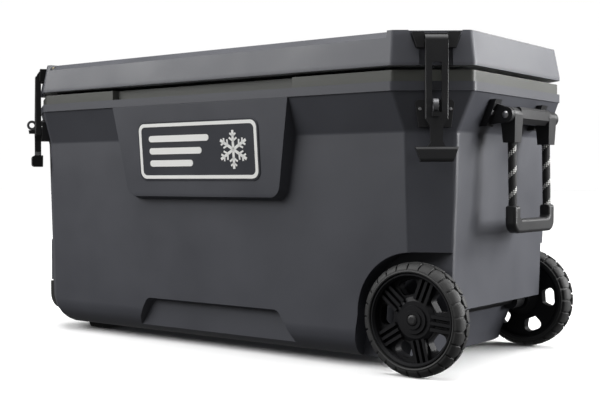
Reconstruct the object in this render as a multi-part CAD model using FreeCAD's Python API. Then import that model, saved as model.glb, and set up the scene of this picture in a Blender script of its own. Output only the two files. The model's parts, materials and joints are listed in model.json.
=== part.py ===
"""Wheeled hard cooler: insulated tub and hinged lid, two corner latches, rope handles and two wheels.

Millimetres. +X is the end with the wheels, -Y the front with the badge and latches, +Z up.
The origin is on the ground under the middle of the cooler.
"""
import FreeCAD, Part
import math
import os

V = FreeCAD.Vector
X_AXIS = V(1, 0, 0)
Y_AXIS = V(0, 1, 0)
Z_AXIS = V(0, 0, 1)

# ---- driving dimensions ------------------------------------------------------------------
HALF_L = 460.0          # half length over the rim and the lid lip
HALF_W = 211.1          # half width over the rim and the lid lip
CUT_X, CUT_Y = 93.0, 68.0   # each vertical corner is cut off by this much along X and Y
HEIGHT = 480.0
CORNER_R = 9.0          # rounding of the vertical edges

GROUND_GAP = 12.0       # underside of the body above the ground
CREASE_Z = 341.0        # the flare under the rim starts here
RIM_Z0, RIM_Z1 = 395.6, 409.0
COLLAR_Z1 = 425.0
LIP_Z = 430.7           # lower edge of the lid
SKIN = 4.0              # outer shell thickness
LINER = 3.2             # tub wall thickness
WALL = 45.2             # rim edge to tub outside
COLLAR_INSET = 5.0      # collar behind the rim, at the front and rear
COLLAR_END = 3.5        # and at the ends
COLLAR_REAR_FACET = 3.0
FINGER_HALF, FINGER_INSET = 186.0, 14.6     # finger recess in the collar, at its inner wall

WHEEL_R, WHEEL_W = 80.0, 35.0
WHEEL_X, WHEEL_OUT = 387.0, 194.5   # axle, and the wheels' outer faces
AXLE_R = 6.0
FIT = 0.05              # running clearance on a radius
WELL_X, WELL_R, WELL_Y = 382.0, 92.5, 143.5

HINGE_Y, HINGE_Z = 204.5, 418.0
HINGE_X = 230.0
HINGE_HALF = 42.0

PIVOT_X, PIVOT_Z = 473.5, 366.0     # rope handle pivot
ARM_Y = 58.0                        # handle arms, each side of the middle
GRIP_X, GRIP_Z0, GRIP_Z1 = 476.0, 197.5, 237.0
ROPE_R = 6.2
ARM_R, ARM_Z0 = 11.5, 327.0         # handle arms: round top, and lower end
ROPE_TOP = 345.0                    # the ropes end this high inside the arms
EAR_Y0, EAR_Y1, EAR_R = 71.4, 79.5, 11.2
GRIP_DEPTH = 18.0

LATCH_SHIFT = 4.0       # the latch sits this far off the facet's middle, towards the end
LATCH_W, LATCH_Z = 1.0, 464.0       # latch pivot: outward from the lip, and height

os.makedirs("parts", exist_ok=True)
FACET = math.hypot(CUT_X, CUT_Y)
TAN_X, TAN_Y = CUT_X / FACET, CUT_Y / FACET
FACET_ANGLE = math.degrees(math.atan2(CUT_Y, CUT_X))


# ---- helpers -----------------------------------------------------------------------------
def save(name, *solids):
    shape = solids[0] if len(solids) == 1 else Part.makeCompound(list(solids))
    shape.exportStep("parts/%s.step" % name)


def box(x0, x1, y0, y1, z0, z1):
    return Part.makeBox(x1 - x0, y1 - y0, z1 - z0, V(x0, y0, z0))


def rounded(points, radius):
    """Closed wire through the points with every corner rounded by an arc."""
    edges = []
    arcs = []
    count = len(points)
    radii = radius if isinstance(radius, (list, tuple)) else [radius] * count
    for i in range(count):
        here = points[i]
        back = (points[i - 1] - here).normalize()
        ahead = (points[(i + 1) % count] - here).normalize()
        half = back.getAngle(ahead) / 2
        reach = radii[i] / math.tan(half)
        centre = here + (back + ahead).normalize() * (radii[i] / math.sin(half))
        middle = centre + (here - centre).normalize() * radii[i]
        arcs.append((here + back * reach, middle, here + ahead * reach))
    for i in range(count):
        edges.append(Part.Arc(*arcs[i]).toShape())
        edges.append(Part.LineSegment(arcs[i][2], arcs[(i + 1) % count][0]).toShape())
    return Part.Wire(edges)


def outline(z, front, end=None, facet=None, radius=CORNER_R, rear_facet=None):
    """Eight-sided ring of the cooler at height z, inset from the rim by the given amounts."""
    end = front if end is None else end
    facet = front if facet is None else facet
    rear_facet = facet if rear_facet is None else rear_facet

    def corner(side, cut):
        x = HALF_L - CUT_X + (TAN_X * front - cut) / TAN_Y
        y = HALF_W - CUT_Y - (cut - TAN_Y * end) / TAN_X
        return (x, side * (HALF_W - front)), (HALF_L - end, side * y)

    (fx, fy), (ex, ey) = corner(-1, facet)
    (rx, ry), (gx, gy) = corner(1, rear_facet)
    ring = [(fx, fy), (ex, ey), (gx, gy), (rx, ry), (-rx, ry), (-gx, gy), (-ex, ey), (-fx, fy)]
    return rounded([V(x, y, z) for x, y in ring], radius)


def loft(*wires):
    return Part.makeLoft(list(wires), True, True)


def prism(points, direction):
    """Flat polygon swept straight along a vector."""
    face = Part.Face(Part.makePolygon(points + [points[0]]))
    return face.extrude(direction)


def cyl(radius, length, base, axis):
    return Part.makeCylinder(radius, length, base, axis)


def mirror_x(shape):
    return shape.mirror(V(0, 0, 0), X_AXIS)


def mirror_y(shape):
    return shape.mirror(V(0, 0, 0), Y_AXIS)


def soften(shape, radius, wanted):
    """Fillet the edges that the test function picks."""
    edges = [edge for edge in shape.Edges if wanted(edge)]
    return shape.makeFillet(radius, edges)


def along(axis):
    """Test for straight edges that run along an axis."""
    def test(edge):
        run = edge.Vertexes[-1].Point - edge.Vertexes[0].Point
        return run.Length > 1e-6 and abs(run.normalize().dot(axis)) > 0.999
    return test


# ---- body --------------------------------------------------------------------------------
WALL_LEVELS = [  # height, inset of front and rear, inset of ends, inset of facets
    (CREASE_Z, 24.0, 26.0, 15.0), (RIM_Z0, 2.0, 2.0, 1.5), (RIM_Z0 + 0.6, 0.0, 0.0, 0.0), (RIM_Z1, 0.0, 0.0, 0.0)]
WALL_FOOT = (35.0, 36.0, 22.0)      # the same insets where the walls start to turn under
TURN = 46.0             # height and depth of the rounded lower edge all round
TURN_ANGLES = [90, 68, 55, 40, 22, 0]
TURN_FACET = 1.2        # the facets turn under this much further than the walls
REAR_FACET = 0.6        # the rear facets are inset less than the front ones, by this factor
PANEL_TOP, PANEL_BOTTOM = 188.0, 157.0      # half widths of the badge panel
PANEL_Z0 = 251.0
PANEL_LEAN = 12.0                           # the panel's foot is this far behind its top
RECESS_Z = 77.0
LEDGE_Z = 88.0                              # lower edge of the wall between the wheels
BEYOND, BELOW = 520.0, -5.0                 # planes well clear of the end and of the ground, for cutting shapes


def wheel_well(grow):
    """Room for one wheel, open to the corner; grow makes the same room with a skin around it."""
    radius = WELL_R + grow
    top = WHEEL_R + radius
    left = WELL_X - radius
    slant = radius * math.sqrt(0.5)
    start, arc_start, arc_end = V(left - 16, 0, BELOW), V(left, 0, WHEEL_R), V(WELL_X, 0, top)
    corner, low_corner = V(BEYOND, 0, top), V(BEYOND, 0, BELOW)
    path = [Part.LineSegment(start, arc_start).toShape(),
            Part.Arc(arc_start, V(WELL_X - slant, 0, WHEEL_R + slant), arc_end).toShape(),
            Part.LineSegment(arc_end, corner).toShape(), Part.LineSegment(corner, low_corner).toShape(),
            Part.LineSegment(low_corner, start).toShape()]
    well = Part.Face(Part.Wire(path)).extrude(V(0, 120, 0))
    well.translate(V(0, WELL_Y - grow, 0))
    return well


def end_undercut(grow):
    """Space under the wheel end for the axle, behind a raked wall."""
    profile = [(BEYOND, LEDGE_Z + grow), (384 - grow, LEDGE_Z + 2 + grow), (373 - grow, 60), (358 - grow, 27),
               (350 - grow, BELOW), (BEYOND, BELOW)]
    return prism([V(x, -WELL_Y - 2, z) for x, z in profile], V(0, 2 * WELL_Y + 4, 0))


def panel_outline(y, grow):
    top, bottom = PANEL_TOP + grow, PANEL_BOTTOM + grow
    corners = [V(-top, y, RIM_Z0 + 4), V(top, y, RIM_Z0 + 4),
               V(bottom, y, PANEL_Z0 - grow), V(-bottom, y, PANEL_Z0 - grow)]
    return rounded(corners, [2, 2, 20, 20])


def recess_outline(y, grow):
    corners = [V(-143 - grow, y, RECESS_Z + grow), V(143 + grow, y, RECESS_Z + grow),
               V(197 + grow, y, -10), V(-197 - grow, y, -10)]
    return rounded(corners, [14, 14, 2, 2])


def body_solid(inset):
    """The body as one lump; inset shrinks it evenly for the hollow inside the skin."""
    front, end, facet = WALL_FOOT
    rear_facet = REAR_FACET * facet
    wires = []
    for angle in TURN_ANGLES:
        inwards = TURN * (1 - math.cos(math.radians(angle))) + inset
        height = GROUND_GAP + TURN * (1 - math.sin(math.radians(angle)))
        if not wires:
            height += inset
        elif height < GROUND_GAP + inset + 1:
            continue
        wires.append(outline(height, front + inwards, end + inwards, facet + TURN_FACET * inwards,
                             rear_facet=rear_facet + TURN_FACET * inwards))
    for z, front, end, facet in WALL_LEVELS:
        if not (inset and z == RIM_Z0 + 0.6):
            wires.append(outline(z, front + inset, end + inset, facet + inset,
                                 rear_facet=REAR_FACET * facet + inset))
    return loft(*wires)


panel = loft(panel_outline(-HALF_W + 47, 14), panel_outline(-HALF_W, 0))
lean = prism([V(-300, -HALF_W, RIM_Z1), V(-300, -HALF_W, RIM_Z0),
              V(-300, -HALF_W + PANEL_LEAN, PANEL_Z0), V(-300, -HALF_W + PANEL_LEAN + 6, PANEL_Z0 - 40),
              V(-300, -150, PANEL_Z0 - 40), V(-300, -150, RIM_Z1)], V(600, 0, 0))
panel = panel.common(lean).common(box(-300, 300, -HALF_W - 2, -150, PANEL_Z0 - 30, RIM_Z0 + 0.3))

BOSS_FACE = [(85, 86), (137, 86), (137, 160), (85, 160), (85, 86)]      # Y, Z at the boss's end
BOSS_FOOT = [(79, 82), (143, 82), (143, 190), (79, 190), (79, 82)]      # and inside the end wall
boss = loft(Part.makePolygon([V(-437, y, z) for y, z in BOSS_FACE]),
            Part.makePolygon([V(-400, y, z) for y, z in BOSS_FOOT]))
bosses = [boss, mirror_y(boss)]

outer = body_solid(0)
outer = outer.fuse([panel] + bosses)
outer = outer.cut(loft(recess_outline(-HALF_W - 10, 10), recess_outline(-HALF_W + 48, -6)))
wells = [wheel_well(0), mirror_y(wheel_well(0))]
for room in wells + [end_undercut(0)]:
    outer = outer.cut(room)

hollow = body_solid(SKIN).common(box(-500, 500, -220, 220, 0, RIM_Z1 - SKIN))
hollow = hollow.cut(loft(recess_outline(-HALF_W - 10, 14), recess_outline(-HALF_W + 52, -2)))
for room in (wheel_well(SKIN), mirror_y(wheel_well(SKIN)), end_undercut(SKIN)):
    hollow = hollow.cut(room)


# ---- tub ---------------------------------------------------------------------------------
STEP_X, STEP_Z, FLOOR_Z = 250.0, 188.0, 62.0     # the tub floor steps up over the wheels


def tub_solid(inset):
    """The tub as a lump: full depth on the left, a raised floor at the wheel end."""
    main = loft(outline(FLOOR_Z + inset, 72 + inset, 74 + inset, 62 + inset, 20),
                outline(COLLAR_Z1 + 1, WALL + inset, WALL + inset, WALL - 6 + inset, 20))
    return main.cut(box(STEP_X - inset, 520, -220, 220, 0, STEP_Z + inset))


tub_outside = tub_solid(0).common(box(-500, 500, -220, 220, 0, COLLAR_Z1))
tub_inside = tub_solid(LINER)
liner = tub_outside.cut(tub_inside)
floor_slab = box(-500, 500, -220, 220, FLOOR_Z, FLOOR_Z + LINER)

DRAIN_Z, DRAIN_R = FLOOR_Z + 22, 11.0
drain_hole = cyl(DRAIN_R, 80, V(-450, 0, DRAIN_Z), X_AXIS)

body = outer.cut(hollow)
body = body.cut([tub_outside.common(box(-500, 500, -220, 220, 300, 430)), drain_hole])
foam = hollow.cut([tub_outside, drain_hole])
liner = liner.cut(drain_hole)
save("body_shell", body)
save("body_foam", foam)
save("inner_tub", liner.cut(floor_slab))
save("tub_floor", liner.common(floor_slab))

# collar: the olive frame between the rim and the lid, with the finger recess and hinge pockets
collar = loft(*[outline(z, COLLAR_INSET, COLLAR_END, COLLAR_INSET, rear_facet=COLLAR_REAR_FACET)
                for z in (RIM_Z1, COLLAR_Z1)])
finger_y = -HALF_W + FINGER_INSET
finger = prism([V(-FINGER_HALF - 17, finger_y - 27, 400), V(FINGER_HALF + 17, finger_y - 27, 400),
                V(FINGER_HALF, finger_y, 400), V(-FINGER_HALF, finger_y, 400)], V(0, 0, 30))
collar = collar.cut([tub_outside, finger])
collar = collar.cut([box(side * HINGE_X - HINGE_HALF - 3, side * HINGE_X + HINGE_HALF + 3,
                         HINGE_Y - 16, HINGE_Y + 14, 400, 430) for side in (-1, 1)])
save("collar_frame", collar)

# badge plate, lying on the leaning panel
lean_angle = math.degrees(math.atan2(PANEL_LEAN, RIM_Z0 - PANEL_Z0))
badge_z = 321.0
badge_y = -HALF_W + PANEL_LEAN * (RIM_Z0 - badge_z) / (RIM_Z0 - PANEL_Z0)
BADGE_HALF_X, BADGE_HALF_Z, BADGE_T = 129.0, 48.0, 1.6
plate = Part.Face(rounded([V(x * BADGE_HALF_X, 0, z * BADGE_HALF_Z) for x, z in
                           ((-1, -1), (1, -1), (1, 1), (-1, 1))], 14))
plate = plate.extrude(V(0, -BADGE_T, 0))
plate.rotate(V(0, 0, 0), X_AXIS, lean_angle)
plate.translate(V(0, badge_y, badge_z))
save("badge_plate", plate)

# black corner bumpers under the two bosses at the left end, and the ground feet
BUMPER_X, BUMPER_Z0 = -HALF_L + 22, 34.0
bumper = box(BUMPER_X, -380, 83, 139, BUMPER_Z0, 84)
bumper = soften(bumper, 26, lambda edge: along(Y_AXIS)(edge) and edge.BoundBox.XMax < BUMPER_X + 1
                and edge.BoundBox.ZMax < BUMPER_Z0 + 1)
bumper = bumper.cut(body_solid(0))
save("corner_bumpers", bumper, mirror_y(bumper))
FOOT_SOLE = [(-362, 52), (-310, 52), (-310, 112), (-362, 112)]      # X, Y on the ground
FOOT_TOP = [(-366, 48), (-306, 48), (-306, 116), (-366, 116)]       # and at the body
foot = loft(rounded([V(x, y, 0) for x, y in FOOT_SOLE], 10),
            rounded([V(x, y, GROUND_GAP) for x, y in FOOT_TOP], 12))
save("ground_feet", foot, mirror_y(foot))

# ---- wheels ------------------------------------------------------------------------------
RIM_R = 66.0
SPOKES = 5
WINDOW_ANGLE = {"front": 32, "rear": 5}     # where the first window of each wheel rests


def turned(points, base):
    """Solid of revolution about the wheel axis; points are (distance inwards, radius)."""
    path = [V(base.x, base.y + inwards, base.z + radius) for inwards, radius in points]
    return Part.Face(Part.makePolygon(path + [path[0]])).revolve(base, Y_AXIS, 360)


def wheel_rim(first_angle):
    """Dished hub, thick web with five windows and ribs, and rim ring, for the wheel at -Y."""
    base = V(WHEEL_X, -WHEEL_OUT, WHEEL_R)
    bore = AXLE_R + FIT
    ring = turned([(3.5, RIM_R - 0.5), (2, RIM_R - 2), (2, 62.5), (6, 60), (32, 60), (34.5, 63),
                   (34, RIM_R - 0.5)], base)
    hub = turned([(7.5, 8.5), (7.5, 13), (9.5, 13.8), (9.5, 19.5), (12, 20.5), (12, 26), (15, 32), (20, 33),
                  (34, 27), (46, 17), (46, bore), (9, bore), (9, 8.5)], base)
    web = turned([(16, 15), (16, 62), (31, 62), (31, 15)], base)
    windows = []
    ribs = []
    for i in range(SPOKES):
        angle = first_angle + i * 360.0 / SPOKES
        window = Part.Face(rounded([V(35, 0, -10), V(56, 0, -19), V(56, 0, 19), V(35, 0, 10)], [5, 8, 8, 5]))
        window = window.extrude(V(0, 60, 0))
        window.rotate(V(0, 0, 0), Y_AXIS, -angle)
        window.translate(base + V(0, -10, 0))
        windows.append(window)
        for offset in (-9, 0, 9):
            rib = box(28, 61.5, 0, 8, offset - 2.2, offset + 2.2)
            rib.rotate(V(0, 0, 0), Y_AXIS, -(angle + 180.0 / SPOKES))
            rib.translate(base + V(0, 9, 0))
            ribs.append(rib)
    wheel = ring.fuse([hub, web] + ribs).cut(windows)
    return wheel.cut(cyl(bore, 80, base + V(0, -10, 0), Y_AXIS))


def wheel_tyre():
    """Crowned tread with sloping shoulders."""
    return turned([(3.5, RIM_R - 0.5), (0.5, RIM_R + 0.5), (0, 68), (0.8, 71.5), (4, 76.5), (9.5, 79.5),
                   (14, WHEEL_R), (22, WHEEL_R), (27.5, 79), (32, 76), (34.6, 72.5), (WHEEL_W, 70),
                   (34.6, RIM_R + 1), (34, RIM_R - 0.5)], V(WHEEL_X, -WHEEL_OUT, WHEEL_R))


AXLE_END = WHEEL_OUT - 7.5          # the axle ends inside the dished hubs
SUPPORT_R, SUPPORT_L = 14.0, 28.0
axle = cyl(AXLE_R, 2 * AXLE_END, V(WHEEL_X, -AXLE_END, WHEEL_R), Y_AXIS)
support = cyl(SUPPORT_R, SUPPORT_L, V(WHEEL_X, -WELL_Y, WHEEL_R), Y_AXIS)
support = support.fuse(box(WHEEL_X - SUPPORT_R, WHEEL_X + SUPPORT_R, -WELL_Y, -WELL_Y + SUPPORT_L,
                           WHEEL_R, LEDGE_Z + 2.5))
support = support.cut(outer)
support = support.cut(cyl(AXLE_R, 60, V(WHEEL_X, -WELL_Y - 10, WHEEL_R), Y_AXIS))
cap = turned([(-2, 0), (-2, 4.5), (-1, 7), (1.2, 8.2), (1.2, AXLE_R), (0, AXLE_R), (0, 0)],
             V(WHEEL_X, -AXLE_END, WHEEL_R))
save("axle", axle)
save("axle_supports", support, mirror_y(support))
save("axle_caps", cap, mirror_y(cap))
save("wheel_rim_front", wheel_rim(WINDOW_ANGLE["front"]))
save("wheel_rim_rear", mirror_y(wheel_rim(WINDOW_ANGLE["rear"])))
save("wheel_tyre_front", wheel_tyre())
save("wheel_tyre_rear", mirror_y(wheel_tyre()))

# ---- lid ---------------------------------------------------------------------------------
LID_DRAFT = 7.7


def lid_solid(inset):
    """Lid as a lump: drafted walls, wide bevel along the front and rear top edges."""
    top = HEIGHT - inset
    lump = loft(outline(LIP_Z, inset), outline(LIP_Z + 6, inset), outline(top, LID_DRAFT + inset))
    wedge_y = HALF_W - LID_DRAFT - inset
    reach = HALF_L - CUT_X - 2
    for side in (-1, 1):
        cutter = prism([V(-500, side * (wedge_y - 14), top), V(-500, side * (wedge_y + 6), top + 1),
                        V(-500, side * (wedge_y + 6), top - 16), V(-500, side * (wedge_y + 1.6), top - 10)],
                       V(1000, 0, 0))
        span = prism([V(-reach, side * 300, 400), V(reach, side * 300, 400), V(reach - 30, 0, 400),
                      V(30 - reach, 0, 400)], V(0, 0, 100))
        lump = lump.cut(cutter.common(span))
    return lump


def place_latch(shape, side):
    """Local frame: X along the facet, -Y outwards from the lip's facet, to the corner on that side."""
    copy = shape.copy()
    copy.rotate(V(0, 0, 0), Z_AXIS, side * FACET_ANGLE)
    middle = V(side * (HALF_L - CUT_X / 2), -HALF_W + CUT_Y / 2, 0)
    shift = V(side * TAN_X, TAN_Y, 0) * LATCH_SHIFT
    copy.translate(middle + shift)
    return copy


notch = prism([V(-38, 0, HEIGHT + 2), V(38, 0, HEIGHT + 2), V(27.5, 0, 454), V(-27.5, 0, 454)], V(0, 40, 0))
notch.translate(V(0, -26, 0))
channel = box(-23, 23, -20, 4.5, 400, 456)
lid_top = lid_solid(0)
lid_room = lid_solid(3.5)
notch_back = prism([V(-42, 0, HEIGHT + 2), V(42, 0, HEIGHT + 2), V(31, 0, 450), V(-31, 0, 450)],
                   V(0, 44, 0))
notch_back.translate(V(0, -26, 0))
channel_back = box(-26.5, 26.5, -20, 8, 400, 456)
for side in (-1, 1):
    lid_top = lid_top.cut([place_latch(notch, side), place_latch(channel, side)])
    lid_room = lid_room.cut([place_latch(notch_back, side), place_latch(channel_back, side)])
lid_shell = lid_top.cut(lid_room)
PLUG_INSET = WALL + LINER + 4
liner_plate = lid_room.common(box(-500, 500, -220, 220, LIP_Z, LIP_Z + 3))
plug = loft(outline(416, PLUG_INSET + 4, radius=18), outline(LIP_Z + 0.5, PLUG_INSET, radius=18))
lid_liner = liner_plate.fuse(plug.cut(loft(outline(419, PLUG_INSET + 7, radius=16),
                                           outline(LIP_Z + 4, PLUG_INSET + 3, radius=16))))
lid_liner = lid_liner.cut(loft(outline(419, PLUG_INSET + 7, radius=16),
                               outline(LIP_Z + 4, PLUG_INSET + 3, radius=16)))
lid_foam = lid_room.common(box(-500, 500, -220, 220, LIP_Z + 3, HEIGHT))
lid_foam = lid_foam.fuse(loft(outline(419, PLUG_INSET + 7, radius=16),
                              outline(LIP_Z + 3.5, PLUG_INSET + 3.4, radius=16)))
gasket = loft(outline(COLLAR_Z1 + 0.4, 31), outline(LIP_Z, 29))
gasket = gasket.cut(loft(outline(COLLAR_Z1, 40), outline(LIP_Z + 1, 40)))
save("lid_shell", lid_shell)
save("lid_liner", lid_liner)
save("lid_foam", lid_foam)
save("lid_gasket", gasket)

# ---- lid hinges --------------------------------------------------------------------------
KNUCKLE_R, PIN_R = 6.0, 2.5


def knuckle(x0, x1, up):
    """Barrel round the hinge pin with a web to its leaf, above or below."""
    barrel = cyl(KNUCKLE_R, x1 - x0, V(x0, HINGE_Y, HINGE_Z), X_AXIS)
    if up:
        web = box(x0, x1, HINGE_Y - 4, HINGE_Y + 4, HINGE_Z, LIP_Z - 2.5)
    else:
        web = box(x0, x1, HINGE_Y - 6, HINGE_Y, RIM_Z1 + 0.01, HINGE_Z)
    return barrel.fuse(web)


for side, name in ((-1, "left"), (1, "right")):
    x = side * HINGE_X
    bore = cyl(PIN_R + FIT, 2 * HINGE_HALF + 4, V(x - HINGE_HALF - 2, HINGE_Y, HINGE_Z), X_AXIS)
    tight = cyl(PIN_R, 2 * HINGE_HALF + 4, V(x - HINGE_HALF - 2, HINGE_Y, HINGE_Z), X_AXIS)
    swept = cyl(KNUCKLE_R + 0.8, 40.8, V(x - 20.4, HINGE_Y, HINGE_Z), X_AXIS)
    base = box(x - HINGE_HALF, x + HINGE_HALF, HINGE_Y - 14, HINGE_Y + 5, RIM_Z1, RIM_Z1 + 2.5).cut(swept)
    base = base.fuse([knuckle(x - 34, x - 20.4, False), knuckle(x + 20.4, x + 34, False)])
    save("hinge_base_" + name, base.cut(tight))
    arm = box(x - 34, x + 34, HINGE_Y - 14, HINGE_Y + 5, LIP_Z - 2.5, LIP_Z)
    arm = arm.fuse(knuckle(x - 20, x + 20, True))
    for shift in (-34, 20):
        arm = arm.cut(cyl(KNUCKLE_R + 0.8, 14.4, V(x + shift - 0.2, HINGE_Y, HINGE_Z), X_AXIS))
    save("hinge_arm_" + name, arm.cut(bore))
    save("hinge_pin_" + name, cyl(PIN_R, 76, V(x - 38, HINGE_Y, HINGE_Z), X_AXIS))

# ---- latches -----------------------------------------------------------------------------
STRAP_HALF = 15.6
STRAP_BACK, STRAP_FRONT = 2.0, 13.0
SLOT_HALF, SLOT_Z0, SLOT_Z1 = 6.6, 366.0, 434.0
EYE_W, EYE_Z, EYE_HOLE, EYE_R = 18.0, 375.0, 4.6, 8.8
EYE_X0, EYE_X1 = -6.0, 1.0          # the ring stands a little off the strap's middle
EYE_BACK, EYE_FOOT = 11.4, 16.0     # the ring's flat back, and the front of its root
STRAP_SLANT = 2.0                   # bevel on the strap's long front edges
LATCH_PIN_R = 2.5


def latch_strap():
    """Long latch arm: knuckle, slotted channel section, neck and T-shaped pull."""
    knuckle_barrel = cyl(8.6, 2 * STRAP_HALF, V(-STRAP_HALF, -LATCH_W, LATCH_Z), X_AXIS)
    shape = [(-STRAP_HALF, LATCH_Z), (STRAP_HALF, LATCH_Z), (STRAP_HALF, 357), (9, 347), (8, 326), (14, 316),
             (-14, 316), (-8, 326), (-9, 347), (-STRAP_HALF, 357)]
    blade = prism([V(x, -STRAP_BACK, z) for x, z in shape], V(0, STRAP_BACK - STRAP_FRONT, 0))
    taper = [(-9.5, 475), (-11.6, LATCH_Z), (-STRAP_FRONT, SLOT_Z0), (-STRAP_FRONT, 300), (-20, 300), (-20, 475)]
    blade = blade.cut(prism([V(-30, y, z) for y, z in taper], V(60, 0, 0)))
    for side in (-1, 1):
        bevel = [(STRAP_HALF - STRAP_SLANT, -14), (STRAP_HALF + 1, -14),
                 (STRAP_HALF + 1, -STRAP_FRONT + STRAP_SLANT + 1)]
        blade = blade.cut(prism([V(side * x, y, 357) for x, y in bevel], V(0, 0, 120)))
    hollow_back = box(-STRAP_HALF + 3.5, STRAP_HALF - 3.5, -STRAP_FRONT + 4.5, 0, 360, 450)
    slot = Part.Face(rounded([V(-SLOT_HALF, 0, SLOT_Z0), V(SLOT_HALF, 0, SLOT_Z0), V(SLOT_HALF, 0, SLOT_Z1),
                              V(-SLOT_HALF, 0, SLOT_Z1)], [0.5, 0.5, 2, 2])).extrude(V(0, -30, 0))
    pull = prism([V(-29.5, 0, 319), V(29.5, 0, 319), V(22, 0, 298.5), V(-22, 0, 298.5)], V(0, -19, 0))
    pull.translate(V(0, 0.5, 0))
    pull = soften(pull, 5, lambda edge: along(X_AXIS)(edge) and edge.BoundBox.YMax < -15)
    lug = prism([V(EYE_X0 - 1, -11, SLOT_Z0), V(EYE_X0 - 1, -24, SLOT_Z0), V(EYE_X0 - 1, -23, 359.5),
                 V(EYE_X0 - 1, -11, 359.5)], V(EYE_X1 - EYE_X0 + 2, 0, 0))
    strap = knuckle_barrel.fuse([blade.cut([hollow_back, slot]), pull, lug])
    return strap.cut(cyl(LATCH_PIN_R + FIT, 60, V(-30, -LATCH_W, LATCH_Z), X_AXIS))


def latch_eye():
    """Padlock ring that stands out of the strap, with its root on the lower edge of the strap's slot."""
    rise = math.sqrt(EYE_R ** 2 - (EYE_W - EYE_FOOT) ** 2)
    back = math.sqrt(EYE_R ** 2 - (EYE_W - EYE_BACK) ** 2)
    profile = [(EYE_BACK, EYE_Z + back), (EYE_BACK, 372), (9.5, 372), (9.5, SLOT_Z0), (EYE_FOOT, SLOT_Z0),
               (EYE_FOOT, EYE_Z - rise)]
    points = [V(EYE_X0, -outwards, z) for outwards, z in profile]
    edges = [Part.LineSegment(a, b).toShape() for a, b in zip(points, points[1:])]
    edges.append(Part.Arc(points[-1], V(EYE_X0, -EYE_W - EYE_R, EYE_Z), points[0]).toShape())
    ring = Part.Face(Part.Wire(edges)).extrude(V(EYE_X1 - EYE_X0, 0, 0))
    return ring.cut(cyl(EYE_HOLE, 20, V(-10, -EYE_W, EYE_Z), X_AXIS))


def latch_mount():
    """Block in the lid's notch with two ears that hold the latch pin."""
    block = prism([V(-33.6, 0, 476), V(33.6, 0, 476), V(26.6, 0, 454.2), V(-26.6, 0, 454.2)], V(0, 18, 0))
    block.translate(V(0, -4.5, 0))
    gap = box(-STRAP_HALF - 0.4, STRAP_HALF + 0.4, -40, 8.6, 440, 490)
    return block.cut([gap, cyl(LATCH_PIN_R, 52, V(-26, -LATCH_W, LATCH_Z), X_AXIS)])


def latch_keeper():
    """Bracket on the flare that the latch closes against."""
    face = [(-28.5, 380), (-24.5, 384), (21.5, 384), (25.5, 380), (21, 346), (-23, 346)]
    block = prism([V(x, 0, z) for x, z in face], V(0, 22, 0))
    block.translate(V(0, -0.7, 0))
    return block


def latch_screw(x):
    return Part.makeCone(2.4, 2.0, 1.0, V(x, -0.7, 371), V(0, -1, 0))


keeper_cut = body_solid(0)
for side, name in ((-1, "left"), (1, "right")):
    save("latch_strap_" + name, place_latch(latch_strap(), side))
    save("latch_eye_" + name, place_latch(latch_eye(), side))
    save("latch_mount_" + name, place_latch(latch_mount(), side))
    save("latch_pin_" + name, place_latch(cyl(LATCH_PIN_R, 52, V(-26, -LATCH_W, LATCH_Z), X_AXIS), side))
    save("latch_keeper_" + name, place_latch(latch_keeper(), side).cut(keeper_cut))
    screws = [place_latch(latch_screw(x), side) for x in (-22, 20)]
    save("keeper_screws_" + name, *screws)

# ---- rope handles ------------------------------------------------------------------------
FLARE = 24.0                # the end wall widens this much between the crease and the rim
HANDLE_PIN_R = 4.0

def wall_x(z):
    """X of the flared end wall at height z."""
    return HALF_L - 2 - FLARE * (RIM_Z0 - z) / (RIM_Z0 - CREASE_Z)


def handle_bracket():
    """Plate on the flared wall with an ear for the pivot pin, front one of the right-hand pair."""
    z0, z1 = 350.0, 388.0
    plate_side = [V(wall_x(z0) - 3, -88, z0), V(wall_x(z1) - 3, -88, z1), V(wall_x(z1) + 9, -88, z1),
                  V(wall_x(z0) + 11, -88, z0)]
    base = prism(plate_side, V(0, 20, 0))
    ear = prism([V(wall_x(354) - 3, -EAR_Y1, 351), V(wall_x(380) - 3, -EAR_Y1, 387),
                 V(PIVOT_X, -EAR_Y1, PIVOT_Z + EAR_R), V(PIVOT_X, -EAR_Y1, PIVOT_Z - EAR_R)],
                V(0, EAR_Y1 - EAR_Y0, 0))
    ear = ear.fuse(cyl(EAR_R, EAR_Y1 - EAR_Y0, V(PIVOT_X, -EAR_Y1, PIVOT_Z), Y_AXIS))
    base = base.cut(cyl(15, 40, V(PIVOT_X, -EAR_Y0, PIVOT_Z), Y_AXIS))
    bracket = base.fuse(ear).cut(keeper_cut)
    return bracket.cut(cyl(HANDLE_PIN_R, 30, V(PIVOT_X, -90, PIVOT_Z), Y_AXIS))


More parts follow.
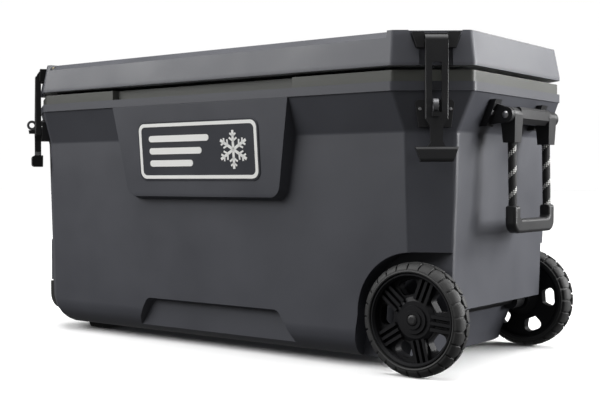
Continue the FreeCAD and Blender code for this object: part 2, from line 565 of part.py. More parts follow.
def handle_yoke():
    """Two tapered arms joined by a cross bar, with rope sockets in their lower ends."""
    arms = []
    for side in (-1, 1):
        barrel = cyl(ARM_R, 26, V(PIVOT_X, side * ARM_Y - 13, PIVOT_Z), Y_AXIS)
        x = PIVOT_X
        top = Part.makePolygon([V(x + a * ARM_R, side * ARM_Y + b * 13, PIVOT_Z) for a, b in
                                ((-1, -1), (1, -1), (1, 1), (-1, 1), (-1, -1))])
        low = Part.makePolygon([V(x + 0.5 + a * 9.2, side * ARM_Y + b * 10.5, ARM_Z0) for a, b in
                                ((-1, -1), (1, -1), (1, 1), (-1, 1), (-1, -1))])
        arms.append(barrel.fuse(loft(top, low)))
    bar = prism([V(PIVOT_X - 10, -50, 358), V(PIVOT_X - 10, -50, 374), V(PIVOT_X - 6, -50, 378),
                 V(PIVOT_X + 8, -50, 378), V(PIVOT_X + 11, -50, 374.5), V(PIVOT_X + 11, -50, 362),
                 V(PIVOT_X + 5, -50, 355), V(PIVOT_X - 7, -50, 355)], V(0, 100, 0))
    yoke = arms[0].fuse([arms[1], bar])
    return yoke.cut([cyl(HANDLE_PIN_R + FIT, 160, V(PIVOT_X, -80, PIVOT_Z), Y_AXIS)] + rope_pair(ROPE_TOP))


def rope_axis(z):
    """X of the rope's middle at height z: the ropes lean out a little towards the grip."""
    return PIVOT_X + 0.5 + (GRIP_X - PIVOT_X - 0.5) * (ARM_Z0 - z) / (ARM_Z0 - GRIP_Z1)


def rope_pair(top):
    bottom = GRIP_Z1 - 18
    foot, head = V(rope_axis(bottom), 0, bottom), V(rope_axis(top), 0, top)
    run = head - foot
    return [cyl(ROPE_R, run.Length, foot + V(0, side * ARM_Y, 0), run) for side in (-1, 1)]


def handle_grip():
    """U-shaped hand grip with the rope sockets in its two upright ends."""
    half = 67.0
    block = 18.0
    bar = 20.5
    side_view = rounded([V(GRIP_X, -half, GRIP_Z1), V(GRIP_X, -half, GRIP_Z0), V(GRIP_X, half, GRIP_Z0),
                         V(GRIP_X, half, GRIP_Z1), V(GRIP_X, half - block, GRIP_Z1),
                         V(GRIP_X, half - block, GRIP_Z0 + bar), V(GRIP_X, -half + block, GRIP_Z0 + bar),
                         V(GRIP_X, -half + block, GRIP_Z1)], [1.5, 16, 16, 1.5, 1.5, 5, 5, 1.5])
    grip = Part.Face(side_view).extrude(V(GRIP_DEPTH, 0, 0))
    grip.translate(V(-GRIP_DEPTH / 2, 0, 0))
    grip = grip.makeFillet(5, [edge for edge in grip.Edges if edge.BoundBox.ZMax < GRIP_Z0 + bar + 0.1
                               and abs(edge.BoundBox.XLength) < 0.1 and edge.BoundBox.YLength > 60])
    return grip.cut(rope_pair(ARM_Z0))


bracket = handle_bracket()
pin = cyl(HANDLE_PIN_R, 2 * EAR_Y1, V(PIVOT_X, -EAR_Y1, PIVOT_Z), Y_AXIS)
head = Part.makeSphere(7, V(PIVOT_X, -EAR_Y1 + 5, PIVOT_Z)).common(box(400, 520, -90, -EAR_Y1, 300, 400))
pin = pin.fuse([head, mirror_y(head)])
plate_normal = V(RIM_Z0 - CREASE_Z, 0, -FLARE).normalize()
screw_at = V(wall_x(369) + 9.6, -83.5, 369)
screw = Part.makeCone(4.2, 3.0, 1.8, screw_at, plate_normal)
bracket = bracket.cut(screw)
handle = {"handle_bracket": [bracket, mirror_y(bracket)], "handle_pin": [pin], "handle_yoke": [handle_yoke()],
          "handle_ropes": rope_pair(ROPE_TOP), "handle_grip": [handle_grip()],
          "handle_screws": [screw, mirror_y(screw)]}
for piece, solids in handle.items():
    save(piece + "_right", *solids)
    save(piece + "_left", *[mirror_x(solid) for solid in solids])

# ---- drain -------------------------------------------------------------------------------
OUT_X = -HALF_L + 34.5      # outside of the left end wall at the drain
fitting = cyl(DRAIN_R, 60, V(OUT_X - 12, 0, DRAIN_Z), X_AXIS)
fitting = fitting.fuse(cyl(19, 3, V(OUT_X - 3, 0, DRAIN_Z), X_AXIS))
fitting = fitting.cut([body, foam, cyl(8, 80, V(OUT_X - 20, 0, DRAIN_Z), X_AXIS)])
drain_cap = cyl(17, 15, V(OUT_X - 18.5, 0, DRAIN_Z), X_AXIS)
drain_cap = drain_cap.cut(cyl(DRAIN_R + 0.4, 11, V(OUT_X - 14.2, 0, DRAIN_Z), X_AXIS))
save("drain_fitting", fitting)
save("drain_cap", drain_cap)
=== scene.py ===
"""Looks of the wheeled hard cooler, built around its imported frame. Metres; +X wheel end, -Y front, +Z up."""

import json
import math

import bmesh
import bpy
from mathutils import Matrix, Vector

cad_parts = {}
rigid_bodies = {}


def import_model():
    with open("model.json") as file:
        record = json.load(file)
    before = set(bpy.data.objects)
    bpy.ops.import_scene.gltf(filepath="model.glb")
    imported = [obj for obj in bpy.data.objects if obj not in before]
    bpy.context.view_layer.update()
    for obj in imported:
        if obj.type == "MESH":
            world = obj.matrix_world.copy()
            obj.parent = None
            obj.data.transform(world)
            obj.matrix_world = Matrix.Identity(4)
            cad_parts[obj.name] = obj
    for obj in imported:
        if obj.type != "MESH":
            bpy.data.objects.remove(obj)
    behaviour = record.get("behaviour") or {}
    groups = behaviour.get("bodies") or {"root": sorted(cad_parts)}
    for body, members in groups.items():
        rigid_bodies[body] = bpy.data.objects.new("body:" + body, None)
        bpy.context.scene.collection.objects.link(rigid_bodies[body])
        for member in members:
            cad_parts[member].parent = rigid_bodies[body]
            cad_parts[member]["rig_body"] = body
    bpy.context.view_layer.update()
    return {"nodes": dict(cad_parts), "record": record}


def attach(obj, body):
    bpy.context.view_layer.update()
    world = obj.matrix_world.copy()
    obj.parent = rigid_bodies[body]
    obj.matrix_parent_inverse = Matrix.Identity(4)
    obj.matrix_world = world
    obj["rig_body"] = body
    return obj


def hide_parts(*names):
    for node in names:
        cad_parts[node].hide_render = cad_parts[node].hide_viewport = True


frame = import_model()
NODES = frame["nodes"]
MM = 0.001
SIDES = ("left", "right")
Y_AXIS = Vector((0, 1, 0))


# ---- camera and studio -------------------------------------------------------------------
CAMERA_AT = (1.1285, -1.4207, 0.2728)
CAMERA_YAW, CAMERA_PITCH = 0.649, 0.022     # radians: turned left of +Y, and down
CAMERA_LENS, CAMERA_SENSOR = 62.3, 36.0     # millimetres
CAMERA_CLIP = (0.05, 60.0)
FLOOR_REACH, FLOOR_WHITE, FLOOR_ROUGHNESS = 30.0, 0.92, 0.9
BACKDROP_R, BACKDROP_STEPS = 26.0, 24       # an upright ring of flat panels round the scene
BACKDROP_LEVELS = (-1.0, 14.0)
AMBIENT = 0.13                              # strength of the white world
SUN_POWER, SUN_SPREAD = 3.6, 70             # straight down; the spread in degrees makes it soft
AREA_LIGHTS = (
    # name, place, what it points at, width and height, watts, share of its gloss that is kept
    ("left_front", (-2.2, -2.6, 2.1), (0.0, 0, 0.4), (3.2, 2.0), 150, 1.0),
    ("right_back", (2.9, 2.6, 1.9), (0.4, 0, 0.3), (2.0, 1.2), 150, 0.1),
    ("right_side", (3.4, 1.3, 0.8), (0.46, 0, 0.1), (1.4, 1.0), 130, 0.1),
)


def make_camera():
    data = bpy.data.cameras.new("camera")
    data.lens = CAMERA_LENS
    data.sensor_width = CAMERA_SENSOR
    data.clip_start, data.clip_end = CAMERA_CLIP
    camera = bpy.data.objects.new("camera", data)
    bpy.context.scene.collection.objects.link(camera)
    turn = Matrix.Rotation(CAMERA_YAW, 4, "Z") @ Matrix.Rotation(math.pi / 2 - CAMERA_PITCH, 4, "X")
    camera.matrix_world = Matrix.Translation(CAMERA_AT) @ turn
    bpy.context.scene.camera = camera


def soft_light(name, place, target, size, power, gloss):
    data = bpy.data.lights.new(name, "AREA")
    data.shape = "RECTANGLE"
    data.size, data.size_y = size
    data.energy = power
    data.specular_factor = gloss
    lamp = bpy.data.objects.new(name, data)
    bpy.context.scene.collection.objects.link(lamp)
    lamp.location = place
    lamp.rotation_euler = (Vector(target) - Vector(place)).to_track_quat("-Z", "Y").to_euler()


def stage_piece(name, points, faces, material):
    """Floor or backdrop: seen by the camera, but hidden from bounce, reflection and shadow rays."""
    data = bpy.data.meshes.new(name)
    data.from_pydata(points, [], faces)
    piece = bpy.data.objects.new(name, data)
    bpy.context.scene.collection.objects.link(piece)
    data.materials.append(material)
    piece.visible_diffuse = False
    piece.visible_glossy = False
    piece.visible_shadow = False


def make_studio():
    corners = [(x * FLOOR_REACH, y * FLOOR_REACH, 0) for x, y in ((-1, -1), (1, -1), (1, 1), (-1, 1))]
    pale = plain_material("studio_floor", (FLOOR_WHITE, FLOOR_WHITE, FLOOR_WHITE), FLOOR_ROUGHNESS)
    stage_piece("floor", corners, [(0, 1, 2, 3)], pale)
    white = plain_material("studio_backdrop", (0, 0, 0), 1.0)
    shader = white.node_tree.nodes["Principled BSDF"]
    shader.inputs["Emission Color"].default_value = (1, 1, 1, 1)
    shader.inputs["Emission Strength"].default_value = 1.0
    steps = BACKDROP_STEPS
    turns = [2 * math.pi * k / steps for k in range(steps)]
    ring = [(BACKDROP_R * math.cos(turn), BACKDROP_R * math.sin(turn)) for turn in turns]
    wall = [(x, y, z) for z in BACKDROP_LEVELS for x, y in ring]
    panels = [(k, (k + 1) % steps, steps + (k + 1) % steps, steps + k) for k in range(steps)]
    stage_piece("backdrop", wall, panels, white)
    world = bpy.data.worlds.new("studio")
    world.use_nodes = True
    background = world.node_tree.nodes["Background"]
    background.inputs["Color"].default_value = (1, 1, 1, 1)
    background.inputs["Strength"].default_value = AMBIENT
    bpy.context.scene.world = world
    bpy.context.scene.view_settings.view_transform = "Standard"
    overhead = bpy.data.lights.new("overhead", "SUN")
    overhead.energy = SUN_POWER
    overhead.angle = math.radians(SUN_SPREAD)
    lamp = bpy.data.objects.new("overhead", overhead)
    bpy.context.scene.collection.objects.link(lamp)
    for row in AREA_LIGHTS:
        soft_light(*row)


# ---- materials ---------------------------------------------------------------------------
SCUFF_LIFT, SCUFF_FLOOR = 2.2, 0.02     # a scuff's colour: the plastic's own times this, plus this


def plain_material(name, colour, roughness):
    made = bpy.data.materials.new(name)
    made.use_nodes = True
    shader = made.node_tree.nodes["Principled BSDF"]
    shader.inputs["Base Color"].default_value = (*colour, 1)
    shader.inputs["Roughness"].default_value = roughness
    return made


class Nodes:
    """Small helper that adds and links shader nodes in one call."""

    def __init__(self, name):
        self.material = bpy.data.materials.new(name)
        self.material.use_nodes = True
        self.tree = self.material.node_tree
        self.shader = self.tree.nodes["Principled BSDF"]

    def add(self, kind, links=None, **settings):
        node = self.tree.nodes.new("ShaderNode" + kind)
        for key, value in settings.items():
            setattr(node, key, value)
        for socket, value in (links or {}).items():
            self.put(node.inputs[socket], value)
        return node

    def put(self, socket, value):
        if isinstance(value, bpy.types.NodeSocket):
            self.tree.links.new(value, socket)
        else:
            socket.default_value = value

    def ramp(self, factor, stops):
        """Colour ramp with two stops, each a place and a colour."""
        node = self.add("ValToRGB", {"Fac": factor})
        for element, (place, colour) in zip(node.color_ramp.elements, stops):
            element.position = place
            element.color = (*colour, 1)
        return node.outputs["Color"]


def moulded(name, colour, vary=0.08, roughness=(0.42, 0.56), grain=2600.0, bump=0.12, scuff=0.0,
            specular=0.45):
    """Moulded plastic: fine spark-eroded grain, faint cloudy tone, uneven sheen and light scuffs.

    vary is how far the tone drifts, scuff how much the scuffs show; roughness is its lowest and highest."""
    made = Nodes(name)
    place = made.add("TexCoord").outputs["Object"]
    fine = made.add("TexNoise", {"Vector": place, "Scale": grain, "Detail": 3.0, "Roughness": 0.6})
    broad = made.add("TexNoise", {"Vector": place, "Scale": 7.0, "Detail": 4.0, "Roughness": 0.55})
    dark = tuple(c * (1 - vary) for c in colour)
    light = tuple(min(1, c * (1 + vary)) for c in colour)
    tone = made.ramp(broad.outputs["Fac"], [(0.3, dark), (0.7, light)])
    if scuff:
        streak = made.add("Mapping", {"Vector": place, "Scale": (9, 9, 160)})
        marks = made.add("TexNoise", {"Vector": streak.outputs["Vector"], "Scale": 6.0, "Detail": 6.0,
                                      "Roughness": 0.7})
        worn = made.ramp(marks.outputs["Fac"], [(0.66, (0, 0, 0)), (0.74, (scuff, scuff, scuff))])
        mixed = made.add("Mix", data_type="RGBA")
        made.put(mixed.inputs["Factor"], worn)
        made.put(mixed.inputs["A"], tone)
        mixed.inputs["B"].default_value = tuple(min(1, c * SCUFF_LIFT + SCUFF_FLOOR) for c in colour) + (1,)
        tone = mixed.outputs["Result"]
    made.put(made.shader.inputs["Base Color"], tone)
    span = made.add("MapRange", {"Value": broad.outputs["Fac"], "From Min": 0.3, "From Max": 0.7,
                                 "To Min": roughness[0], "To Max": roughness[1]})
    made.put(made.shader.inputs["Roughness"], span.outputs["Result"])
    made.shader.inputs["Specular IOR Level"].default_value = specular
    relief = made.add("Bump", {"Height": fine.outputs["Fac"], "Strength": bump, "Distance": 0.0003})
    made.put(made.shader.inputs["Normal"], relief.outputs["Normal"])
    return made.material


def metal(name, colour, roughness):
    """Plated metal with fine scratches along Y."""
    made = Nodes(name)
    place = made.add("TexCoord").outputs["Object"]
    stretch = made.add("Mapping", {"Vector": place, "Scale": (900, 60, 900)})
    lines = made.add("TexNoise", {"Vector": stretch.outputs["Vector"], "Scale": 3.0, "Detail": 4.0})
    tone = made.ramp(lines.outputs["Fac"], [(0.3, tuple(c * 0.8 for c in colour)), (0.7, colour)])
    made.put(made.shader.inputs["Base Color"], tone)
    made.shader.inputs["Metallic"].default_value = 1.0
    span = made.add("MapRange", {"Value": lines.outputs["Fac"], "To Min": roughness - 0.08,
                                 "To Max": roughness + 0.12})
    made.put(made.shader.inputs["Roughness"], span.outputs["Result"])
    relief = made.add("Bump", {"Height": lines.outputs["Fac"], "Strength": 0.1, "Distance": 0.0002})
    made.put(made.shader.inputs["Normal"], relief.outputs["Normal"])
    return made.material


def foam_material():
    """Pale yellow insulation foam with fine cells."""
    made = Nodes("foam_cells")
    place = made.add("TexCoord").outputs["Object"]
    cells = made.add("TexVoronoi", {"Vector": place, "Scale": 900.0})
    tone = made.ramp(cells.outputs["Distance"], [(0.0, (0.9, 0.83, 0.6)), (0.8, (0.7, 0.6, 0.36))])
    made.put(made.shader.inputs["Base Color"], tone)
    made.shader.inputs["Roughness"].default_value = 0.9
    relief = made.add("Bump", {"Height": cells.outputs["Distance"], "Strength": 0.5, "Distance": 0.0005})
    made.put(made.shader.inputs["Normal"], relief.outputs["Normal"])
    return made.material


MATERIALS = {
    "body_plastic": moulded("body_plastic", (0.050, 0.052, 0.062), grain=1500.0, bump=0.25, scuff=0.03),
    "lid_plastic": moulded("lid_plastic", (0.062, 0.064, 0.075), grain=1500.0, bump=0.25, scuff=0.03),
    "collar_plastic": moulded("collar_plastic", (0.058, 0.060, 0.053), grain=1500.0, bump=0.2),
    "tub_plastic": moulded("tub_plastic", (0.62, 0.63, 0.64), vary=0.02, roughness=(0.25, 0.35), bump=0.03),
    "foam": foam_material(),
    "black_plastic": moulded("black_plastic", (0.013, 0.013, 0.014), vary=0.15, roughness=(0.36, 0.5),
                             bump=0.15, scuff=0.05),
    "badge": moulded("badge_plate_plastic", (0.035, 0.037, 0.045), roughness=(0.3, 0.4), bump=0.05),
    "badge_white": moulded("badge_white", (0.82, 0.82, 0.8), vary=0.02, roughness=(0.35, 0.45), bump=0.04),
    "steel": metal("zinc_steel", (0.6, 0.6, 0.61), 0.32),
    "black_steel": metal("black_steel", (0.03, 0.03, 0.032), 0.45),
    "eye": metal("eye_metal", (0.22, 0.22, 0.23), 0.5),
    "rubber": moulded("rubber", (0.02, 0.02, 0.02), roughness=(0.7, 0.85), bump=0.3, specular=0.25),
    "wheel_plastic": moulded("wheel_plastic", (0.006, 0.006, 0.007), vary=0.2, scuff=0.03, specular=0.2),
    "tread": moulded("tread", (0.019, 0.019, 0.019), vary=0.2, roughness=(0.48, 0.66), bump=0.3, scuff=0.08),
    "rope": moulded("rope_black", (0.014, 0.014, 0.015), roughness=(0.55, 0.75), grain=4000.0, bump=0.3),
    "rope_white": moulded("rope_white", (0.75, 0.75, 0.73), vary=0.05, roughness=(0.55, 0.75), grain=4000.0),
}
FINISH = {"axle": "black_steel", "axle_caps": "black_plastic"}      # where it isn't the slot's own material


# ---- mesh helpers ------------------------------------------------------------------------
WELD = 2e-6             # metres: points closer than this become one
FLAT_ANGLE = 0.8        # degrees: faces that meet flatter than this become one
CRISP_ANGLE = 24        # degrees: sharper edges of a CAD node are rounded
EDGE_SEGMENTS = 2


def body_of(node):
    return NODES[node]["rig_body"]


def slot_of(node):
    for part in frame["record"]["subparts"]:
        if part["node"] == node:
            return part["material_slot"]


def adopt(name, mesh, node):
    """Puts a finished mesh in the scene as a piece that stands for the named node, on its body."""
    piece = bpy.data.objects.new(name, mesh)
    bpy.context.scene.collection.objects.link(piece)
    body, slot_name = body_of(node), slot_of(node)
    mesh.materials.clear()
    mesh.materials.append(MATERIALS[slot_name])
    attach(piece, body)
    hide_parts(node)
    return piece


def shade(mesh, angle=28):
    """Smooth shading in which large faces keep their flat look and the small ones between them blend.

    Faces that meet more sharply than the angle, in degrees, stay apart."""
    mesh.shade_smooth()
    limit = math.cos(math.radians(angle))
    normals = [face.normal.copy() for face in mesh.polygons]
    areas = [face.area for face in mesh.polygons]
    around = [[] for _ in mesh.vertices]
    for face in mesh.polygons:
        for vertex in face.vertices:
            around[vertex].append(face.index)
    split = []
    for face in mesh.polygons:
        for vertex in face.vertices:
            total = Vector()
            for other in around[vertex]:
                if normals[face.index].dot(normals[other]) > limit:
                    total += normals[other] * areas[other]
            split.append(total.normalized() if total.length > 0 else face.normal)
    mesh.normals_split_custom_set(split)


def crisp_edges(bm, angle):
    """Edges between two faces that turn by more than the angle, in degrees."""
    limit = math.radians(angle)
    return [edge for edge in bm.edges if len(edge.link_faces) == 2 and edge.calc_face_angle(0) > limit]


def round_edges(bm, edges, width, segments):
    bmesh.ops.bevel(bm, geom=edges, offset=width, offset_type="OFFSET", segments=segments, profile=0.5,
                    affect="EDGES", clamp_overlap=True)


def dressed(node, width, soft=()):
    """The node's own shape with its crisp edges rounded, as moulded or stamped parts have them.

    Widths are in millimetres. soft lists (test, width, segments, angle) for edges that are rounded
    more widely first."""
    mesh = NODES[node].data.copy()
    bm = bmesh.new()
    bm.from_mesh(mesh)
    bmesh.ops.remove_doubles(bm, verts=bm.verts, dist=WELD)
    bmesh.ops.dissolve_limit(bm, angle_limit=math.radians(FLAT_ANGLE), verts=bm.verts, edges=bm.edges)
    for test, wide, segments, least in soft:
        edges = [edge for edge in crisp_edges(bm, least) if test(*[vertex.co / MM for vertex in edge.verts])]
        round_edges(bm, edges, wide * MM, segments)
    round_edges(bm, crisp_edges(bm, CRISP_ANGLE), width * MM, EDGE_SEGMENTS)
    bm.to_mesh(mesh)
    bm.free()
    mesh.name = node + "_finished"
    shade(mesh)
    return adopt(node + "_finished", mesh, node)


def mesh_piece(name, bm, node, extra=()):
    """A newly modelled piece that stands for one CAD node; extra names its further materials."""
    mesh = bpy.data.meshes.new(name)
    bmesh.ops.recalc_face_normals(bm, faces=bm.faces)
    bm.to_mesh(mesh)
    bm.free()
    tones = [face.material_index for face in mesh.polygons]
    piece = adopt(name, mesh, node)
    for finish in extra:
        mesh.materials.append(MATERIALS[finish])
    for face, tone in zip(mesh.polygons, tones):
        face.material_index = tone
    return piece


def paint(node):
    """A CAD node whose shape is right keeps it and gets its finish."""
    mesh = NODES[node].data
    mesh.materials.clear()
    mesh.materials.append(MATERIALS[FINISH.get(node, slot_of(node))])


# ---- tyres -------------------------------------------------------------------------------
WHEEL_X, WHEEL_Z = 387.0, 80.0      # millimetres, as all sizes of pieces from here on
WHEEL_OUT = 194.5                   # the tyre's outer face, each side of the middle
TREAD_R = 80
# Profiles: how far inwards from the tyre's outer face, and radius there.
# CROWN is the blocks' outline, GROOVE the closed section of the tyre below them.
CROWN = ((0, 68), (0.8, 71.5), (4, 76.5), (9.5, 79.5), (14, 80), (22, 80), (27.5, 79), (32, 76), (34.6, 72.5),
         (35, 70))
GROOVE = ((3.5, 65.5), (0.5, 66.5), (0, 68), (0.9, 69.6), (4.4, 73.2), (9, 76.0), (14, 76.8), (22, 76.8),
          (27.0, 75.6), (31.0, 73.0), (34.0, 70.8), (35, 70), (34.6, 67), (34, 65.5))
BLOCKS = 25                                     # in each row
BLOCK_ROWS = ((0.9, 15.2, -1), (17.2, 33.4, 1))  # inwards from and to, and the side whose corners are cut
BLOCK_GAP = 1.3                                 # half the slot between blocks
BLOCK_BEVEL, BLOCK_DROP = 0.6, 0.6              # width of the bevelled edge, and how far it drops
BLOCK_DEPTH = 3.0                               # from a block's top to its foot, below the groove
BLOCK_BELOW_CROWN = 0.05
CORNER_CUT = 4.2                                # what a block's corner loses, over its outer halves
REVOLVE_STEPS = 150
TYRE_SHADE = 32                                 # degrees


def crown_radius(inwards):
    """Radius of the crown's outline at that distance from the outer face."""
    for (a, ra), (b, rb) in zip(CROWN, CROWN[1:]):
        if a <= inwards <= b:
            return ra + (rb - ra) * (inwards - a) / (b - a)
    return CROWN[-1][1]


def wheel_point(side, angle, radius, inwards):
    return Vector((WHEEL_X + radius * math.cos(angle), side * (WHEEL_OUT - inwards),
                   WHEEL_Z + radius * math.sin(angle))) * MM


def revolve(bm, profile, side):
    """Closed ring with the given section round the wheel's axis."""
    steps = REVOLVE_STEPS
    rings = [[bm.verts.new(wheel_point(side, 2 * math.pi * k / steps, radius, inwards)) for k in range(steps)]
             for inwards, radius in profile]
    for i, ring in enumerate(rings):
        ahead = rings[(i + 1) % len(rings)]
        for k in range(steps):
            after = (k + 1) % steps
            bm.faces.new((ring[k], ring[after], ahead[after], ahead[k]))


def tread_block(bm, side, middle, row):
    """One tread block: its top follows the crown, with bevelled edges and cut corners at the seam."""
    near, far, cut_side = BLOCK_ROWS[row]
    half = math.pi / BLOCKS - BLOCK_GAP / TREAD_R
    bevel = BLOCK_BEVEL / TREAD_R
    around = [-half, -half, -half + bevel] + [half * t for t in (-0.75, -0.5, 0, 0.5, 0.75)]
    around += [half - bevel, half, half]
    across = [0, 0, 0.04, 0.2, 0.4, 0.6, 0.8, 0.96, 1, 1]
    lines = []
    for i, u in enumerate(around):
        corner = max(0.0, (abs(u) - 0.5 * half) / (0.5 * half)) * CORNER_CUT
        low, high = (near + corner, far) if cut_side > 0 else (near, far - corner)
        line = []
        for j, v in enumerate(across):
            layer = min(i, len(around) - 1 - i, j, len(across) - 1 - j)
            inwards = low + (high - low) * v
            top = crown_radius(inwards) - BLOCK_BELOW_CROWN
            radius = top - (BLOCK_DEPTH, BLOCK_DROP, 0)[min(layer, 2)]
            line.append(bm.verts.new(wheel_point(side, middle + u, radius, inwards)))
        lines.append(line)
    for a, b in zip(lines, lines[1:]):
        for j in range(len(across) - 1):
            bm.faces.new((a[j], b[j], b[j + 1], a[j + 1]))
    last, first = [line[-1] for line in lines[1:]], [line[0] for line in lines[-2:0:-1]]
    bm.faces.new(lines[0] + last + lines[-1][-2::-1] + first)


def make_tyre(name, side):
    bm = bmesh.new()
    revolve(bm, GROOVE, side)
    for k in range(BLOCKS):
        for row in (0, 1):
            tread_block(bm, side, 2 * math.pi * (k + 0.5 * row) / BLOCKS, row)
    piece = mesh_piece("tyre_" + name, bm, "wheel_tyre_" + name)
    shade(piece.data, TYRE_SHADE)


# ---- ropes -------------------------------------------------------------------------------
ROPE_R, ROPE_RELIEF = 6.2, 0.55     # over the strands, and how much less between them
ROPE_FOOT = (476.0, 58.0, 219.0)    # a rope's ends in its sockets; the signs of X and Y follow the handle
ROPE_HEAD = (473.6, 58.0, 345.0)
ROPE_PITCH = 29.5                   # length along the rope over which a strand goes round once
ROPE_SHADE = 40                     # degrees
STRANDS = 12
TRACERS = (0, 1, 2)                 # strands with a white tracer, seen where they lie on top


def braid(bm, foot, head, start):
    """Braided cover: one raised diamond for every strand crossing.

    start says by how many strands the tracers are shifted round the rope."""
    run = head - foot
    along = run.normalized()
    side = along.cross(Y_AXIS).normalized()
    up = along.cross(side)
    around = 2 * STRANDS
    steps = int(run.length / (ROPE_PITCH / around))
    rings = []
    for m in range(steps + 1):
        ring = []
        for k in range(around):
            radius = ROPE_R if (k + m) % 2 else ROPE_R - ROPE_RELIEF
            angle = 2 * math.pi * k / around
            out = side * math.cos(angle) + up * math.sin(angle)
            ring.append(bm.verts.new((foot + along * (run.length * m / steps) + out * radius) * MM))
        rings.append(ring)
    for m in range(steps):
        for k in range(around):
            after = (k + 1) % around
            a, b, c, d = rings[m][k], rings[m][after], rings[m + 1][after], rings[m + 1][k]
            if (k + m) % 2 == 0:
                halves = (((a, b, c), (k + 1, m)), ((a, c, d), (k, m + 1)))
            else:
                halves = (((a, b, d), (k, m)), ((b, c, d), (k + 1, m + 1)))
            for corners, (kk, mm) in halves:
                face = bm.faces.new(corners)
                falling, rising = (kk + mm - 1) // 2, (kk - mm - 1) // 2 + start
                on_top = (falling + rising) % 2 == 0
                face.material_index = 1 if on_top and rising % STRANDS in TRACERS else 0
    bm.faces.new(rings[0][::-1])
    bm.faces.new(rings[-1])


def make_ropes(name, sign):
    """Both ropes of one handle, in the CAD ropes' places."""
    bm = bmesh.new()
    for side, start in ((-1, 0), (1, 5)):
        foot = Vector((sign * ROPE_FOOT[0], side * ROPE_FOOT[1], ROPE_FOOT[2]))
        head = Vector((sign * ROPE_HEAD[0], side * ROPE_HEAD[1], ROPE_HEAD[2]))
        braid(bm, foot, head, start)
    piece = mesh_piece("ropes_" + name, bm, "handle_ropes_" + name, ("rope_white",))
    shade(piece.data, ROPE_SHADE)


# ---- badge -------------------------------------------------------------------------------
FRONT_Y = -211.1                        # the front face at the panel's top edge
PANEL_TOP, PANEL_BOTTOM = 395.6, 251.0
PANEL_DRAFT = 12.0                      # the panel's foot is this much further back than its top
BADGE_Z = 321.0                         # the plate's middle
PLATE_OUTLINE = (129, 48, 14)           # half width, half height and corner radius
BORDER_OUTSIDE, BORDER_INSIDE = (126, 45, 12), (120.5, 39.5, 8)
PLATE_TOP, BORDER_TOP, MARK_TOP = 1.1, 1.55, 1.5     # how far out from the panel
MARK_ROOT = 0.9                         # border and marks start this far out, inside the plate
PLATE_CHAMFER, FLAKE_CHAMFER, STRIPE_CHAMFER = 0.3, 0.15, 0.2
FLAKE_X = 78                            # middle of the snowflake
FLAKE_ARM = (30, 4.6)                   # length and width
FLAKE_TWIGS = ((13, 9.5), (21, 7.5))    # how far out along the arm, and length
TWIG_WIDTH, TWIG_TURN = 3.0, 55         # millimetres, and degrees away from the arm
STRIPE_HALF, STRIPE_CORNER = 5.2, 5.1   # half its height, and corner radius
STRIPES = ((20, -104, 28), (0, -104, 12), (-20, -104, -8))      # height, left end and right end


def panel_y(z):
    """Y of the badge panel's face at height z."""
    return FRONT_Y + PANEL_DRAFT * (PANEL_TOP - z) / (PANEL_TOP - PANEL_BOTTOM)


BADGE_Y = panel_y(BADGE_Z)
BADGE_LEAN = math.atan2(PANEL_DRAFT, PANEL_TOP - PANEL_BOTTOM)


def on_badge(x, depth, z):
    """From the plate's own axes (across, out of the panel, up) to the cooler's."""
    s, c = math.sin(BADGE_LEAN), math.cos(BADGE_LEAN)
    return Vector((x, BADGE_Y - depth * c - z * s, BADGE_Z - depth * s + z * c)) * MM


def rounded_points(half_x, half_z, radius, steps=8):
    """Outline of a rectangle with round corners, about the middle."""
    points = []
    for sx, sz, start in ((1, 1, 0), (-1, 1, 90), (-1, -1, 180), (1, -1, 270)):
        for k in range(steps + 1):
            angle = math.radians(start + 90 * k / steps)
            points.append((sx * (half_x - radius) + radius * math.cos(angle),
                           sz * (half_z - radius) + radius * math.sin(angle)))
    return points


def raised(bm, outline, base, top, tone, chamfer):
    """Plate with the given outline and slightly drawn-in top edge."""
    cx = sum(p[0] for p in outline) / len(outline)
    cz = sum(p[1] for p in outline) / len(outline)
    size = max(math.hypot(x - cx, z - cz) for x, z in outline)
    shrink = 1 - chamfer / size
    inset = [(cx + (x - cx) * shrink, cz + (z - cz) * shrink) for x, z in outline]
    rings = [[bm.verts.new(on_badge(x, depth, z)) for x, z in points]
             for points, depth in ((outline, base), (outline, top - chamfer), (inset, top))]
    for a, b in zip(rings, rings[1:]):
        for k in range(len(outline)):
            after = (k + 1) % len(outline)
            bm.faces.new((a[k], a[after], b[after], b[k])).material_index = tone
    bm.faces.new(rings[-1]).material_index = tone
    bm.faces.new(rings[0][::-1]).material_index = tone


def frame_ring(bm, outer, inner, base, top, tone):
    """Closed raised border between two outlines with the same number of points."""
    count = len(outer)
    loops = [[bm.verts.new(on_badge(x, depth, z)) for x, z in points]
             for points, depth in ((outer, base), (outer, top), (inner, top), (inner, base))]
    for i in range(4):
        a, b = loops[i], loops[(i + 1) % 4]
        for k in range(count):
            after = (k + 1) % count
            bm.faces.new((a[k], a[after], b[after], b[k])).material_index = tone


def bar(cx, cz, length, width, angle):
    """Outline of a straight bar that starts at the point and runs off at the angle."""
    c, s = math.cos(angle), math.sin(angle)
    corners = ((0, -width / 2), (length, -width / 2), (length, width / 2), (0, width / 2))
    return [(cx + x * c - z * s, cz + x * s + z * c) for x, z in corners]


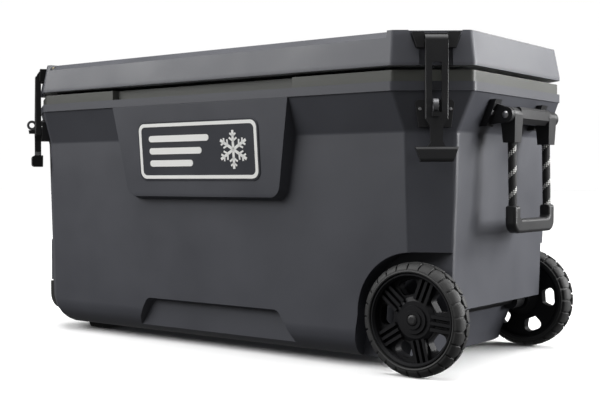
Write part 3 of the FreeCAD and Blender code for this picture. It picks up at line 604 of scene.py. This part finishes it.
def make_badge():
    """Plate with a white border, a generic snowflake and three stripes."""
    bm = bmesh.new()
    raised(bm, rounded_points(*PLATE_OUTLINE), 0.0, PLATE_TOP, 0, PLATE_CHAMFER)
    frame_ring(bm, rounded_points(*BORDER_OUTSIDE), rounded_points(*BORDER_INSIDE), MARK_ROOT, BORDER_TOP, 1)
    for k in range(6):
        turn = math.radians(30 + 60 * k)
        raised(bm, bar(FLAKE_X, 0, *FLAKE_ARM, turn), MARK_ROOT, MARK_TOP, 1, FLAKE_CHAMFER)
        for reach, length in FLAKE_TWIGS:
            x, z = FLAKE_X + reach * math.cos(turn), reach * math.sin(turn)
            for lean in (-1, 1):
                twig = bar(x, z, length, TWIG_WIDTH, turn + lean * math.radians(TWIG_TURN))
                raised(bm, twig, MARK_ROOT, MARK_TOP, 1, FLAKE_CHAMFER)
    for level, left, right in STRIPES:
        middle, half = (left + right) / 2, (right - left) / 2
        outline = [(middle + x, level + z) for x, z in rounded_points(half, STRIPE_HALF, STRIPE_CORNER, 5)]
        raised(bm, outline, MARK_ROOT, MARK_TOP, 1, STRIPE_CHAMFER)
    piece = mesh_piece("badge", bm, "badge_plate", ("badge_white",))
    shade(piece.data)


# ---- edges of the body shell that are rounded more widely --------------------------------
ARCH_X, ARCH_Z, ARCH_R = 382, 80, 92.5      # circle of the wheel arches
ARCH_LEFT = 280                             # no arch reaches further left than this
WELL_Y = 145                                # inner wall of the wheel wells, each side of the middle
WELL_TOP, WELL_BELOW = 172.5, 176           # the wells' top, and a height just above it
END_CORNER_X, END_CORNER_Z = 390, 84        # the corners by the end wall are beyond and above this
PANEL_HALF = 192                            # the badge panel, with a little to spare
CREASE_Z = 341                              # crease between the body's upper and lower faces


def on_arch(p, q):
    """Edges of the wheel arches in the body's outer faces."""
    return all(v.x > ARCH_LEFT and v.z < WELL_BELOW and abs(abs(v.y) - WELL_Y) > 4
               and abs(math.hypot(v.x - ARCH_X, v.z - ARCH_Z) - ARCH_R) < 0.6 for v in (p, q))


def beside_wheel(p, q):
    """Upright corners between the wheel wells and the end wall, and the well's top edge."""
    return all(v.x > END_CORNER_X and END_CORNER_Z < v.z < WELL_BELOW for v in (p, q)) and (
        abs(p.z - q.z) > 20 or all(abs(v.z - WELL_TOP) < 1 for v in (p, q)))


def on_panel(p, q):
    """Edges of the badge panel's face."""
    return all(abs(v.x) < PANEL_HALF and PANEL_BOTTOM - 1 < v.z < PANEL_TOP + 0.6
               and abs(v.y - panel_y(v.z)) < 0.8 for v in (p, q))


def on_crease(p, q):
    return all(abs(v.z - CREASE_Z) < 1 for v in (p, q))


# test, width, segments, least angle
BODY_SOFT = ((on_crease, 5, 3, 8), (on_panel, 4, 3, 12), (on_arch, 6, 4, 30), (beside_wheel, 6, 4, 30))


# ---- the build ---------------------------------------------------------------------------
# How widely each node's crisp edges are rounded, in millimetres. PAIR_WIDTHS are for both sides.
BODY_WIDTH = 1.4
EDGE_WIDTHS = {"lid_shell": 1.6, "collar_frame": 0.8}
PAIR_WIDTHS = {"latch_strap_": 0.7, "latch_mount_": 0.6, "latch_keeper_": 0.5, "latch_eye_": 0.5,
               "handle_bracket_": 0.7, "handle_yoke_": 1.0, "handle_grip_": 1.2, "hinge_base_": 0.4,
               "hinge_arm_": 0.4, "keeper_screws_": 0.3, "handle_screws_": 0.4}
LOWER_WIDTHS = {"corner_bumpers": 1.0, "ground_feet": 1.0, "wheel_rim_front": 0.7, "wheel_rim_rear": 0.7,
                "axle_supports": 0.8, "drain_fitting": 0.5, "drain_cap": 0.8}

make_camera()
make_studio()
for node in sorted(NODES):
    paint(node)
dressed("body_shell", BODY_WIDTH, BODY_SOFT)
for node, width in EDGE_WIDTHS.items():
    dressed(node, width)
for side in SIDES:
    for piece, width in PAIR_WIDTHS.items():
        dressed(piece + side, width)
for node, width in LOWER_WIDTHS.items():
    dressed(node, width)
for side, sign in (("front", -1), ("rear", 1)):
    make_tyre(side, sign)
for side, sign in (("left", -1), ("right", 1)):
    make_ropes(side, sign)
make_badge()
